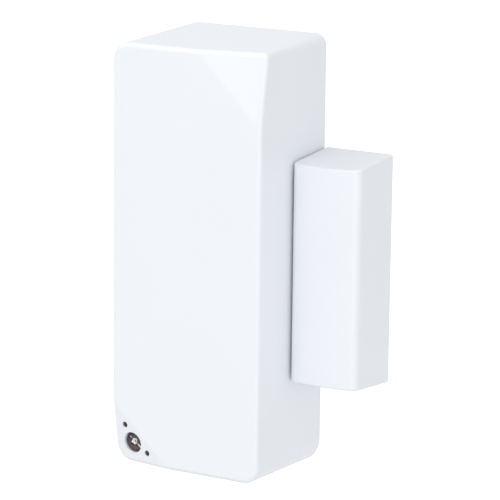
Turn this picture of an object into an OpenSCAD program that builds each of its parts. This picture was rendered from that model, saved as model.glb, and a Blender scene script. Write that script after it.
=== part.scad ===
// Door contact sensor: a wireless transmitter with a reed switch, and the magnet unit beside it.
// The wall is the plane y = 0, the fronts face -Y, +Z is up and +X points from the sensor to the magnet.
// The origin is the middle of the sensor's back face.

/* [Sensor case] */
// Height of the sensor at the wall
case_h = 90; // [80:1:110]
// Width of the sensor at the wall
case_w = 35; // [34:0.5:44]
// Depth of the sensor from the wall to its front face
case_d = 26; // [25.5:0.5:34]
// Wall of the front cover
cover_wall = 1.8; // [1.2:0.1:2]
// Radius of three of the case's long corners at the wall
corner_r = 5.2; // [3.6:0.2:6]
// Radius of the same corners at the front
corner_front_r = 3.4; // [2.4:0.2:6]
// Radius of the top right corner at the wall
crisp_r = 2.4; // [1.2:0.1:4]
// Radius of the top right corner at the front, where it runs out to a crisp point
crisp_front_r = 0.9; // [0.6:0.1:4]
// Inward lean of the two ends over the depth
end_draft = 1.4; // [0:0.1:2]
// Inward lean of the two sides over the depth
side_draft = 0.2; // [0:0.1:1]
// Rounding of the front edge
edge_r = 1; // [0.3:0.1:1.5]
// Reach of the lower left facet across the front
facet_x = 13.8; // [8:0.2:15]
// Reach of the lower left facet along the height
facet_z = 13.2; // [8:0.2:15]
// How far back the lower left facet drops at the corner
facet_drop = 2.2; // [1:0.1:2.6]
// Size of the top right facet against the lower left one
top_facet = 1.1; // [0.8:0.05:1.15]

/* [Cover screw] */
// Distance of the cover screw from the side of the case
screw_from_side = 4.9; // [4.8:0.1:6]
// Distance of the cover screw from the bottom of the case
screw_from_end = 5.8; // [5.6:0.1:8]
// Diameter of the access hole in the corner facet
access_d = 4.45; // [4.4:0.05:5.5]
// Diameter of the screw's head
head_d = 4.2; // [3.6:0.1:4.2]
// Diameter of the screw's shank
shank_d = 2.2; // [1.8:0.1:2.6]
// Length of the screw under its head
shank_l = 9.6; // [8:0.2:12]
// Depth from the front face to the top of the head
head_depth = 1.35; // [1.3:0.05:4]
// Diameter of the two small holes beside the access hole
pin_hole_d = 1.25; // [1:0.05:1.3]
// Longer step from the access hole to each small hole
pin_hole_far = 3.65; // [3.5:0.05:4]
// Shorter step from the access hole to each small hole
pin_hole_near = 1.7; // [1.5:0.05:2]

/* [Base plate] */
// Thickness of the base plate and of the magnet's base
base_t = 2.2; // [1.6:0.1:3]
// Gap between the covers and the bases inside them
cover_gap = 0.2; // [0.15:0.05:0.4]
// Height of the base plate's rim above its floor
rim_h = 3; // [2:0.5:5]
// Thickness of the rim
rim_t = 1.2; // [0.8:0.1:1.6]
// Diameter of the wall screw holes
wall_hole_d = 3.4; // [3:0.1:4]
// Distance between the sensor's two wall screw holes
wall_pitch = 77.2; // [76:0.2:78]
// Sideways place of the wall screw holes from the middle
wall_hole_x = 4; // [0:0.5:6]

/* [Circuit board] */
// Width of the circuit board
board_w = 27.6; // [26:0.2:28]
// Height of the circuit board
board_h = 71; // [68:0.5:71.5]
// Thickness of the circuit board
board_t = 1.2; // [0.8:0.1:1.6]
// Height of the posts under the circuit board
post_h = 2.4; // [2:0.2:3]
// Diameter of the board's fixing screws
board_screw_d = 2; // [1.6:0.1:2.4]

/* [Battery] */
// Diameter of the cell
cell_d = 16.8; // [14:0.1:17]
// Length of the cell's can
cell_l = 33.3; // [28:0.1:33.5]
// Height of the cell's positive nub
nub_h = 1.2; // [0.8:0.1:1.5]
// Thickness of the cradle's end walls
cradle_t = 1.2; // [0.8:0.1:1.4]
// Thickness of the cradle's floor under the cell
cradle_floor = 0.8; // [0.6:0.1:1]
// Compressed length of the negative spring
spring_l = 2.6; // [2:0.1:3]

/* [Reed switch] */
// Diameter of the reed switch's glass
reed_d = 2.4; // [1.8:0.1:3]
// Length of the reed switch's glass
reed_l = 14; // [10:0.5:16]
// Diameter of its leads
reed_lead_d = 0.6; // [0.4:0.05:0.8]

/* [Switches] */
// Side of the tamper switch
tamper_w = 6; // [5:0.5:7]
// Travel of the tamper plunger
tamper_travel = 0.8; // [0.3:0.1:1.2]
// Side of the learn switch
learn_w = 4.6; // [4:0.2:6]
// Travel of the learn button
learn_travel = 0.3; // [0.2:0.05:0.5]

/* [Antenna] */
// Mean diameter of the antenna coil
coil_d = 5; // [4:0.2:6]
// Diameter of its wire
coil_wire_d = 0.8; // [0.6:0.1:1]
// Turns of the antenna coil
coil_turns = 11; // [6:1:14]
// Length of the antenna coil
coil_l = 17; // [14:0.5:18]

/* [Magnet unit] */
// Length of the magnet unit at the wall
magnet_h = 47.5; // [44:0.5:60]
// Width of the magnet unit
magnet_w = 15.4; // [15:0.2:20]
// Depth of the magnet unit
magnet_d = 15.6; // [14:0.2:20]
// Radius of the long front corners of the magnet unit
magnet_r = 2; // [1.6:0.2:5]
// Radius of the magnet unit's arched front
arch_r = 22; // [14:1:40]
// Inward lean of the magnet unit's ends over the depth
magnet_draft = 1.3; // [0:0.1:2]
// Wall of the magnet unit's cover
magnet_wall = 1.5; // [1.2:0.1:2]
// How far the magnet unit's middle lies below the sensor's
magnet_low = 1.8; // [0:0.1:6]
// Gap between the sensor and the closed magnet unit
closed_gap = 0.3; // [0.3:0.1:6]
// Length of the bar magnet
bar_l = 24; // [16:0.5:25]
// Side of the bar magnet
bar_w = 6; // [4:0.2:7]
// Height of the bar magnet above the base's floor
bar_lift = 4; // [2:0.2:4.5]
// Distance between the magnet unit's two wall screw holes
magnet_pitch = 34; // [33:0.5:35]

/* [Hidden] */

round_n = 48;           // sides of round pieces, which stay true cylinders
hull_n = 32;            // sides of the circles inside a hull
cut = 0.01;             // overrun of a cut past the face that it opens
over = 1;               // overrun of a cut where there is room
skin = 0.05;            // running clearance of the moving pins and plungers

white_shell = [0.93, 0.94, 0.95];
white_base = [0.88, 0.89, 0.90];
steel_grey = [0.62, 0.62, 0.63];

// Levels along the depth, from the wall to the front
cover_back = -0.3;
stop_gap = 0.3;         // play between the cover's ribs and the rim
floor_y = -base_t;
board_back = floor_y - post_h;
board_front = board_back - board_t;
inner_front = -(case_d - cover_wall);

// Cover screw
screw_x = -case_w / 2 + screw_from_side;
screw_z = -case_h / 2 + screw_from_end;
head_top = -case_d + head_depth;
head_h = 1.3;
head_edge = 0.4;        // bevel round the top of the head
tip_l = 1.2;
tip_d = 0.6;
washer_t = 0.4;
washer_gap = 0.1;       // play between the washer, the head and the seat
seat_y = head_top + head_h + washer_t;
boss_wall = 1.1;
seat_t = 1.6;
cover_boss_end = seat_y + seat_t;
cover_hole_play = 0.3;  // play of the shank in the cover
lid_post_top = cover_boss_end + 0.3;
screw_tip = head_top + head_h + shank_l;
screw_post_d = 5.4;
pin_hole_end = inner_front + facet_drop + over;

// Board fixing screws
board_screw_x = board_w / 2 - 2.4;
board_screw_z = board_h / 2 - 2.6;
board_screw_places = [[board_screw_x, board_screw_z], [board_screw_x, -board_screw_z]];
board_head_d = 3.6;
board_head_h = 1.1;
board_screw_grip = 3.2; // length of the screw in its post
board_hole_play = 0.3;  // play of the screw in the board

// Battery and its cradle, upper left of the board
cell_r = cell_d / 2;
cell_play = 0.15;       // gap round the cell in its cradle
cell_x = -board_w / 2 + cell_r + 1.1;
cell_y = board_front - cradle_floor - cell_r - cell_play;
cradle_top = board_h / 2 - 0.6;
plate_t = 0.4;
cell_top = cradle_top - cradle_t - plate_t;
cell_bottom = cell_top - nub_h - cell_l;
cradle_bottom = cell_bottom - spring_l - plate_t - cradle_t;
cradle_wall_y = cell_y - 1.5;
cradle_w = cell_d + 1.2;
contact_back = board_front - cradle_floor - 1;

// Reed switch, at the magnet's height on the board's right edge
reed_x = board_w / 2 - 2.6;
reed_y = board_front - 1.9;
reed_z = -magnet_low;
reed_span = reed_l + 7;
reed_wall = 0.4;
reed_seal = 1.6;        // length of the solid glass at each end

// Tamper switch, lower right, with a post of the cover over its plunger
tamper_x = 8.6;
tamper_z = -22.5;
tamper_body_h = 3.6;
plunger_d = 3.4;
plunger_l = 7.4;
plunger_front = board_front - tamper_body_h - plunger_l;
tamper_rest_gap = 0.3;
tamper_well_end = board_front - 0.6;
cover_post_d = plunger_d + 0.8;
end_play = 0.1;         // room left under a button at the end of its travel

// Learn switch
learn_x = -9.8;
learn_z = -12.4;
learn_body_h = 3;
learn_d = 2.4;
learn_cap_h = 1.1;
learn_well_end = board_front - 0.8;

// Radio, controller and the small parts around them
radio_x = -5.6;
radio_z = -22.6;
radio_board_w = 13;
radio_board_h = 11;
radio_board_t = 0.8;
controller_x = 3.4;
controller_z = -31.2;
chip_w = 5;
chip_t = 1.2;
chip_lift = 0.15;
coil_x = 8.6;
coil_z0 = 12.6;
coil_y = board_front - coil_d / 2 - coil_wire_d / 2 - 0.5;
header_x = -1.2;
header_z = -12.2;
header_pitch = 2.54;
header_h = 2.5;
pin_w = 0.64;
capacitor_x = -5.8;
capacitor_z = -30.6;
capacitor_d = 4;
capacitor_h = 5.4;
crystal_x = -3.2;
crystal_z = -34.2;
led_x = 2;
led_z = -18.6;

// Magnet unit
magnet_x = case_w / 2 + closed_gap + magnet_w / 2;
magnet_z = -magnet_low;
bar_y = floor_y - bar_lift;
pad_gap = 0.7;          // room for the arch between the pad and the cover
pad_front = -(magnet_d - magnet_wall - pad_gap);

// A rounded rectangle w by h in X and Z and t thick along Y, with its front face at y;
// top_right_r is the radius of its top right corner
module plate_xz(w, h, r, y, t, n = round_n, top_right_r = 0) {
    translate([0, y + t, 0]) rotate([90, 0, 0]) linear_extrude(t) difference() {
        square([w, h], center = true);
        for (sx = [-1, 1], sz = [-1, 1]) {
            q = sx > 0 && sz > 0 && top_right_r > 0 ? top_right_r : r;
            translate([sx * (w / 2 - q), sz * (h / 2 - q)]) difference() {
                translate([sx > 0 ? 0 : -q - 1, sz > 0 ? 0 : -q - 1]) square(q + 1);
                circle(q, $fn = n);
            }
        }
    }
}

// A round bar along Y from y0 (nearer the front) to y1
module rod_y(x, z, d, y0, y1) {
    translate([x, y0, z]) rotate([-90, 0, 0]) cylinder(d = d, h = y1 - y0, $fn = round_n);
}

// A cone along Y that starts at y with diameter d0 and ends t further back with diameter d1
module cone_y(x, z, d0, d1, y, t) {
    translate([x, y, z]) rotate([-90, 0, 0]) cylinder(d1 = d0, d2 = d1, h = t, $fn = round_n);
}

// A block from corner a to corner b
module block(a, b) {
    translate(a) cube(b - a);
}

// A block of size w along X, h along Z, standing on the board's front by t
module chip(x, z, w, h, t, lift = 0) {
    block([x - w / 2, board_front - lift - t, z - h / 2], [x + w / 2, board_front - lift, z + h / 2]);
}

// Unit vector along v
function unit(v) = v / norm(v);

// Tube of radius r swept along a list of points, with flat ends
module swept_wire(path, r, sides = 8) {
    last = len(path) - 1;
    function heading(i) = unit(path[min(i + 1, last)] - path[max(i - 1, 0)]);
    function side_a(i) = unit(cross(heading(i), [0.12, 0.2, 1]));
    function side_b(i) = cross(heading(i), side_a(i));
    points = [
        for (i = [0:last], s = [0:sides - 1])
            path[i] + r * (cos(360 * s / sides) * side_a(i) + sin(360 * s / sides) * side_b(i))
    ];
    faces = concat(
        [[for (s = [0:sides - 1]) s]],
        [[for (s = [sides - 1:-1:0]) last * sides + s]],
        [
            for (i = [0:last - 1], s = [0:sides - 1])
                [i * sides + s, (i + 1) * sides + s,
                 (i + 1) * sides + (s + 1) % sides, i * sides + (s + 1) % sides]
        ]
    );
    polyhedron(points, faces, convexity = 8);
}

// Half-space beyond the facet at the corner (sx, sz), size times as large as the lower left one;
// shrink moves the facet inwards
module facet_cutter(sx, sz, size, shrink) {
    corner = [sx * (case_w / 2 - side_draft), -case_d, sz * (case_h / 2 - end_draft)];
    normal = unit([sx / facet_x, -1 / facet_drop, sz / facet_z]);
    span = case_h;
    translate(corner - [sx * facet_x * size, 0, 0] - shrink * normal)
        rotate(acos(normal.z), cross([0, 0, 1], normal))
            translate([-span / 2, -span / 2, 0]) cube([span, span, case_d]);
}

// The case's outer form drawn in by inset, from its front to back_y
module case_form(inset, back_y) {
    back_r = max(corner_r - inset, 0.8);
    front_r = max(corner_front_r - inset, 0.8);
    crisp_back = max(crisp_r - inset, 0.8);
    crisp_front = max(crisp_front_r - inset, 0.5);
    rounding = max(edge_r - inset, 0.25);
    front_w = case_w - 2 * side_draft - 2 * inset;
    front_h = case_h - 2 * end_draft - 2 * inset;
    difference() {
        hull() {
            plate_xz(case_w - 2 * inset, case_h - 2 * inset, back_r, back_y - cut, cut, hull_n,
                     crisp_back);
            for (a = [0, 30, 60, 90]) {
                draw_in = rounding * (1 - cos(a));
                plate_xz(front_w - 2 * draw_in, front_h - 2 * draw_in, front_r - draw_in,
                         -case_d + inset + rounding * (1 - sin(a)), cut, hull_n, crisp_front);
            }
        }
        facet_cutter(-1, -1, 1, inset);
        facet_cutter(1, 1, top_facet, inset);
    }
}

module front_cover() {
    rib_z = 26;
    rib_t = 1.2;
    rib_reach = 0.5;
    rib_front = -12;
    color(white_shell) difference() {
        union() {
            difference() {
                case_form(0, cover_back);
                case_form(cover_wall, over);
            }
            // screw boss behind the lower left facet
            intersection() {
                rod_y(screw_x, screw_z, access_d + 2 * boss_wall, -case_d, cover_boss_end);
                case_form(cover_wall / 2, cover_back);
            }
            // post over the tamper plunger
            rod_y(tamper_x, tamper_z, cover_post_d, inner_front - cover_wall / 2,
                  plunger_front - tamper_rest_gap);
            // ribs that stop the cover just over the base plate's rim
            for (side = [-1, 1], z = [-rib_z, rib_z]) {
                x = side * (case_w / 2 - cover_wall - side_draft);
                block([x - rib_reach, rib_front, z - rib_t / 2],
                      [x + rib_reach, floor_y - rim_h - stop_gap, z + rib_t / 2]);
            }
        }
        rod_y(screw_x, screw_z, access_d, -case_d - over, seat_y);
        rod_y(screw_x, screw_z, shank_d + cover_hole_play, -case_d - over, 0);
        for (step = [[-pin_hole_near, pin_hole_far], [pin_hole_far, -pin_hole_near]]) {
            rod_y(screw_x + step.x, screw_z + step.y, pin_hole_d, -case_d - over, pin_hole_end);
        }
    }
}

module lid_screw() {
    slot = [2.6, 1.6, 0.6];
    slot_turn = 20;
    color(steel_grey) difference() {
        union() {
            rod_y(screw_x, screw_z, head_d, head_top + head_edge, head_top + head_h);
            cone_y(screw_x, screw_z, head_d - 2 * head_edge, head_d, head_top, head_edge);
            rod_y(screw_x, screw_z, shank_d, head_top + head_edge, screw_tip - tip_l);
            cone_y(screw_x, screw_z, shank_d, tip_d, screw_tip - tip_l, tip_l);
        }
        for (turn = [0, 90]) {
            translate([screw_x, head_top, screw_z]) rotate([0, turn + slot_turn, 0])
                cube(slot, center = true);
        }
    }
}

module screw_washer() {
    color(steel_grey) difference() {
        rod_y(screw_x, screw_z, head_d, seat_y - washer_t + washer_gap, seat_y);
        rod_y(screw_x, screw_z, shank_d + 2 * skin, head_top, 0);
    }
}

module base_plate() {
    inset = cover_wall + cover_gap;
    w = case_w - 2 * inset - 2 * side_draft * (base_t + rim_h) / case_d;
    h = case_h - 2 * inset - 2 * end_draft * (base_t + rim_h) / case_d;
    r = corner_r - inset;
    post_d = 4.2;
    plain_post_d = 3.4;
    plain_post_x = -board_w / 2 + 2.4;
    web_t = 1.2;
    web_near = 1.6;
    web_far = 6;
    tip_room = 0.4;
    color(white_base) difference() {
        union() {
            difference() {
                plate_xz(w, h, r, floor_y - rim_h, base_t + rim_h);
                plate_xz(w - 2 * rim_t, h - 2 * rim_t, max(r - rim_t, 0.3),
                         floor_y - rim_h - over, rim_h + over);
            }
            // posts under the board, two for its screws and two plain
            for (place = board_screw_places) {
                rod_y(place.x, place.y, post_d, board_back, floor_y);
            }
            for (z = [-20, 22]) {
                rod_y(plain_post_x, z, plain_post_d, board_back, floor_y);
            }
            // post that takes the cover screw, with a web along its foot
            rod_y(screw_x, screw_z, screw_post_d, lid_post_top, floor_y);
            block([screw_x + web_near, lid_post_top + web_far, screw_z - web_t / 2],
                  [screw_x + web_far, floor_y, screw_z + web_t / 2]);
        }
        for (side = [-1, 1]) {
            rod_y(wall_hole_x, side * wall_pitch / 2, wall_hole_d, floor_y - rim_h, cut);
        }
        for (place = board_screw_places) {
            rod_y(place.x, place.y, board_screw_d,
                  board_back - over, board_back + board_screw_grip + tip_room);
        }
        rod_y(screw_x, screw_z, shank_d + 2 * skin, lid_post_top - over, screw_tip + 2 * tip_room);
    }
}

module circuit_board() {
    board_r = 1.5;
    notch = 4.4;
    color([0.09, 0.35, 0.22]) difference() {
        plate_xz(board_w, board_h, board_r, board_front, board_t);
        for (place = board_screw_places) {
            rod_y(place.x, place.y, board_screw_d + board_hole_play, board_front - over, 0);
        }
        // notch that clears the cover screw's post
        block([-board_w / 2 - over, board_front - over, -board_h / 2 - over],
              [screw_x + notch, 0, screw_z + notch]);
    }
}

module board_screws() {
    slot = [2, 1.2, 0.5];
    slot_turn = 30;
    top = board_front - board_head_h;
    color(steel_grey) for (place = board_screw_places) {
        difference() {
            union() {
                rod_y(place.x, place.y, board_head_d, top, board_front);
                rod_y(place.x, place.y, board_screw_d, top, board_back + board_screw_grip);
            }
            for (turn = [0, 90]) {
                translate([place.x, top, place.y]) rotate([0, turn + slot_turn, 0])
                    cube(slot, center = true);
            }
        }
    }
}

module battery_cell() {
    nub_r = 3.2;
    shoulder = 0.8;
    foot_in = 1;
    foot_up = 0.6;
    color([0.2, 0.22, 0.5]) translate([cell_x, cell_y, cell_bottom]) rotate_extrude($fn = round_n)
        polygon([
            [0, 0], [cell_r - foot_in, 0], [cell_r, foot_up],
            [cell_r, cell_l - shoulder], [cell_r - shoulder, cell_l],
            [nub_r, cell_l], [nub_r, cell_l + nub_h], [0, cell_l + nub_h]
        ]);
}

// Tray with two end walls and two pairs of arms round the cell
module battery_cradle() {
    arm_w = 4;
    arm_rise = 3.4;
    left = cell_x - cradle_w / 2;
    right = cell_x + cradle_w / 2;
    color([0.13, 0.13, 0.14]) difference() {
        union() {
            block([left, contact_back, cradle_bottom], [right, board_front, cradle_top]);
            block([left, cradle_wall_y, cradle_top - cradle_t], [right, board_front, cradle_top]);
            block([left, cradle_wall_y, cradle_bottom],
                  [right, board_front, cradle_bottom + cradle_t]);
            for (share = [0.2, 0.72]) {
                z = cell_bottom + share * cell_l;
                block([left, cell_y - arm_rise, z], [right, board_front, z + arm_w]);
            }
        }
        translate([cell_x, cell_y, cradle_bottom + cradle_t])
            cylinder(r = cell_r + cell_play, h = cradle_top - cradle_bottom - 2 * cradle_t, $fn = round_n);
    }
}

// A contact plate across the cell's end at z, reaching half_w from the cell's middle
module contact_plate(half_w, z) {
    color([0.8, 0.78, 0.7])
        block([cell_x - half_w, cell_y - half_w, z], [cell_x + half_w, contact_back, z + plate_t]);
}

module positive_contact() {
    contact_plate(4, cell_top);
}

module negative_plate() {
    contact_plate(4.5, cradle_bottom + cradle_t);
}

// Conical coil from the plate up to the cell's flat end
module negative_spring() {
    wire_r = 0.3;
    turns = 3;
    wide_r = 4;
    narrow_r = 1.8;
    z0 = cradle_bottom + cradle_t + plate_t + wire_r;
    rise = spring_l - 2 * wire_r;
    steps = turns * 16;
    color([0.75, 0.75, 0.76]) swept_wire([
        for (i = [0:steps])
            let (t = i / steps, a = 360 * turns * t, r = wide_r + (narrow_r - wide_r) * t)
                [cell_x + r * cos(a), cell_y + r * sin(a), z0 + rise * t]
    ], wire_r);
}

module reed_glass() {
    outer_r = reed_d / 2;
    inner_r = outer_r - reed_wall;
    lead_r = reed_lead_d / 2;
    shoulder = 0.8;
    color([0.75, 0.85, 0.8]) translate([reed_x, reed_y, reed_z - reed_l / 2]) rotate_extrude($fn = round_n)
        polygon([
            [lead_r, 0], [inner_r, 0], [outer_r, shoulder],
            [outer_r, reed_l - shoulder], [inner_r, reed_l], [lead_r, reed_l],
            [lead_r, reed_l - reed_seal], [inner_r, reed_l - reed_seal - shoulder],
            [inner_r, reed_seal + shoulder], [lead_r, reed_seal]
        ]);
}

// Two blades that overlap in the glass, each with a lead bent down to the board
module reed_leads() {
    overlap = 1.5;
    blade_w = 0.8;
    blade_t = 0.2;
    blade_step = 0.22;
    color([0.78, 0.77, 0.74]) for (side = [-1, 1]) {
        end_z = reed_z + side * reed_span / 2;
        seal_z = reed_z + side * (reed_l / 2 - reed_seal - 0.1);
        blade_y = reed_y + side * blade_step;
        tip_z = reed_z - side * overlap / 2;
        union() {
            translate([reed_x, reed_y, min(end_z, seal_z)])
                cylinder(d = reed_lead_d, h = abs(end_z - seal_z), $fn = round_n);
            translate([reed_x, reed_y, end_z]) sphere(d = reed_lead_d, $fn = round_n);
            rod_y(reed_x, end_z, reed_lead_d, reed_y, board_front);
            block([reed_x - blade_w / 2, blade_y - blade_t / 2, min(tip_z, seal_z)],
                  [reed_x + blade_w / 2, blade_y + blade_t / 2, max(tip_z, seal_z)]);
        }
    }
}

module radio_board() {
    color([0.1, 0.28, 0.5]) chip(radio_x, radio_z, radio_board_w, radio_board_h, radio_board_t);
}

module radio_shield() {
    back = board_front - radio_board_t;
    w = radio_board_w - 3;
    h = radio_board_h - 2;
    rise = 2;
    sheet = 0.2;
    color([0.78, 0.78, 0.8]) difference() {
        block([radio_x - w / 2, back - rise, radio_z - h / 2], [radio_x + w / 2, back, radio_z + h / 2]);
        block([radio_x - w / 2 + sheet, back - rise + sheet, radio_z - h / 2 + sheet],
              [radio_x + w / 2 - sheet, back + over, radio_z + h / 2 - sheet]);
    }
}

// Helical antenna standing off the board, with one leg down to it
module antenna_coil() {
    r = coil_d / 2;
    leg_l = 1.2;
    steps = coil_turns * 14;
    color([0.72, 0.45, 0.2]) swept_wire(concat(
        [[coil_x + r, board_front, coil_z0], [coil_x + r, board_front - leg_l, coil_z0]],
        [
            for (i = [0:steps])
                let (t = i / steps, a = 360 * coil_turns * t)
                    [coil_x + r * cos(a), coil_y - r * sin(a), coil_z0 + coil_l * t]
        ]
    ), coil_wire_d / 2);
}

module controller_chip() {
    color([0.1, 0.1, 0.11]) chip(controller_x, controller_z, chip_w, chip_w, chip_t, chip_lift);
}

module controller_legs() {
    legs = 6;
    leg_pitch = 0.72;
    leg_w = 0.3;
    leg_h = 0.7;
    reach = 0.9;
    color([0.8, 0.8, 0.8]) for (side = [-1, 1], i = [0:legs - 1]) {
        x = controller_x + side * (chip_w / 2 + reach / 2);
        z = controller_z + (i - (legs - 1) / 2) * leg_pitch;
        block([x - reach / 2, board_front - leg_h, z - leg_w / 2],
              [x + reach / 2, board_front, z + leg_w / 2]);
    }
}

module crystal_can() {
    color([0.8, 0.8, 0.8]) chip(crystal_x, crystal_z, 4.6, 2, 1.4);
}

module storage_capacitor() {
    color([0.7, 0.7, 0.72])
        rod_y(capacitor_x, capacitor_z, capacitor_d, board_front - capacitor_h, board_front);
}

// Resistors and capacitors: an upper row, one over the controller, and a column beside the reed
module surface_parts() {
    long = 1.6;
    short = 0.9;
    t = 0.5;
    row_step = 1.9;
    column_step = 3.2;
    upper_row = [3, -14];
    lower_row = [2.4, -26.9];
    column = [board_w / 2 - 6.8, 8];
    color([0.55, 0.45, 0.32]) {
        for (i = [0:3]) {
            chip(upper_row.x + row_step * i, upper_row.y, short, long, t);
            chip(column.x, column.y - column_step * i, long, short, t);
        }
        for (i = [0:2]) {
            chip(lower_row.x + row_step * i, lower_row.y, short, long, t);
        }
    }
}

module status_led() {
    color([0.95, 0.3, 0.25]) chip(led_x, led_z, 1.6, 0.9, 0.7);
}

module tamper_switch() {
    color([0.16, 0.16, 0.17]) difference() {
        chip(tamper_x, tamper_z, tamper_w, tamper_w, tamper_body_h);
        rod_y(tamper_x, tamper_z, plunger_d + 2 * skin, -case_d, tamper_well_end);
    }
}

module tamper_plunger() {
    color([0.1, 0.1, 0.1])
        rod_y(tamper_x, tamper_z, plunger_d, plunger_front, tamper_well_end - tamper_travel - end_play);
}

module learn_switch() {
    color([0.7, 0.7, 0.72]) difference() {
        chip(learn_x, learn_z, learn_w, learn_w, learn_body_h);
        rod_y(learn_x, learn_z, learn_d + 2 * skin, -case_d, learn_well_end);
    }
}

module learn_button() {
    color([0.85, 0.6, 0.2])
        rod_y(learn_x, learn_z, learn_d, board_front - learn_body_h - learn_cap_h,
              learn_well_end - learn_travel - end_play);
}

module option_header() {
    pin_h = 8;
    color([0.12, 0.12, 0.13]) union() {
        chip(header_x, header_z, 2 * header_pitch, header_pitch, header_h);
        for (side = [-1, 1]) {
            chip(header_x + side * header_pitch / 2, header_z, pin_w, pin_w, pin_h);
        }
    }
}

module option_jumper() {
    y1 = board_front - header_h - 0.1;
    y0 = y1 - 5;
    half_w = 1.25;
    hole = pin_w / 2 + skin;
    color([0.1, 0.15, 0.55]) difference() {
        block([header_x - header_pitch, y0, header_z - half_w],
              [header_x + header_pitch, y1, header_z + half_w]);
        for (side = [-1, 1]) {
            x = header_x + side * header_pitch / 2;
            block([x - hole, y0 - over, header_z - hole], [x + hole, y1 + over, header_z + hole]);
        }
    }
}

// Section of the magnet unit drawn in by inset: flat sides, round corners and an arched front,
// each running smoothly into the next
module magnet_section(inset, depth) {
    w = magnet_w - 2 * inset;
    r = max(magnet_r - inset, 0.5);
    big_r = arch_r - inset;
    centre_y = depth - big_r;
    reach = w / 2 - r;
    shoulder = centre_y + sqrt(pow(big_r - r, 2) - reach * reach);
    spread = 2 * depth / (shoulder - centre_y);
    translate([-w / 2, 0]) square([w, shoulder]);
    for (side = [-1, 1]) {
        translate([side * reach, shoulder]) circle(r, $fn = round_n);
    }
    intersection() {
        translate([-w / 2, 0]) square([w, depth]);
        translate([0, centre_y]) circle(big_r, $fn = 2 * round_n);
        translate([0, centre_y]) polygon([
            [0, 0], spread * [reach, shoulder - centre_y], spread * [-reach, shoulder - centre_y]
        ]);
    }
}

// The magnet unit's outer form drawn in by inset, with drafted ends, from the front to back_y
module magnet_form(inset, back_y) {
    h = magnet_h - 2 * inset;
    lean = atan(magnet_draft / magnet_d);
    translate([magnet_x, 0, magnet_z]) difference() {
        translate([0, 0, -h / 2]) linear_extrude(h)
            mirror([0, 1]) translate([0, -back_y]) magnet_section(inset, magnet_d - inset + back_y);
        for (side = [-1, 1]) {
            translate([0, 0, side * h / 2]) rotate([side * lean, 0, 0])
                translate([-magnet_w, -2 * magnet_d, side > 0 ? 0 : -magnet_d])
                    cube([2 * magnet_w, 4 * magnet_d, magnet_d]);
        }
    }
}

module magnet_cover() {
    color(white_shell) difference() {
        magnet_form(0, cover_back);
        magnet_form(magnet_wall, over);
    }
}

module magnet_base() {
    inset = magnet_wall + cover_gap;
    w = magnet_w - 2 * inset;
    h = magnet_h - 2 * inset - 2 * magnet_draft * base_t / magnet_d;
    plate_r = 0.8;
    saddle_w = 2.4;
    saddle_wall = 1.4;
    grip = 2;               // overlap of the saddles and end stops with the bar's depth
    stop_t = 1;
    slot = [bar_w / 2 + skin, magnet_d, bar_l / 2 + skin];
    color(white_base) translate([magnet_x, 0, magnet_z]) difference() {
        union() {
            plate_xz(w, h, plate_r, floor_y, base_t);
            for (side = [-1, 1]) {
                // saddle under the bar magnet, with a wall each side of it
                saddle_z = side * bar_l / 3;
                block([-bar_w / 2 - saddle_wall, bar_y - bar_w + grip, saddle_z - saddle_w / 2],
                      [bar_w / 2 + saddle_wall, floor_y, saddle_z + saddle_w / 2]);
                // stop past the end of the bar
                stop_z = side * (bar_l / 2 + stop_t / 2 + 0.1);
                block([-bar_w / 2, bar_y - grip, stop_z - stop_t / 2],
                      [bar_w / 2, floor_y, stop_z + stop_t / 2]);
            }
        }
        block([-slot.x, -slot.y, -slot.z], [slot.x, bar_y, slot.z]);
        for (side = [-1, 1]) {
            rod_y(0, side * magnet_pitch / 2, wall_hole_d, -magnet_d, cut);
        }
    }
}

module bar_magnet() {
    color([0.3, 0.3, 0.32]) translate([magnet_x, 0, magnet_z])
        block([-bar_w / 2, bar_y - bar_w, -bar_l / 2], [bar_w / 2, bar_y, bar_l / 2]);
}

module magnet_pad() {
    color([0.2, 0.2, 0.2]) translate([magnet_x, 0, magnet_z])
        block([-bar_w / 2, pad_front, -bar_l / 3], [bar_w / 2, bar_y - bar_w, bar_l / 3]);
}

base_plate();
front_cover();
lid_screw();
screw_washer();
circuit_board();
board_screws();
battery_cell();
battery_cradle();
positive_contact();
negative_plate();
negative_spring();
reed_glass();
reed_leads();
radio_board();
radio_shield();
antenna_coil();
controller_chip();
controller_legs();
crystal_can();
storage_capacitor();
surface_parts();
status_led();
learn_switch();
learn_button();
tamper_switch();
tamper_plunger();
option_header();
option_jumper();
magnet_base();
magnet_cover();
bar_magnet();
magnet_pad();
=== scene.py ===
import bmesh
import bpy
from math import asin, cos, pi, radians, sin, tan
from mathutils import Matrix, Vector


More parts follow.
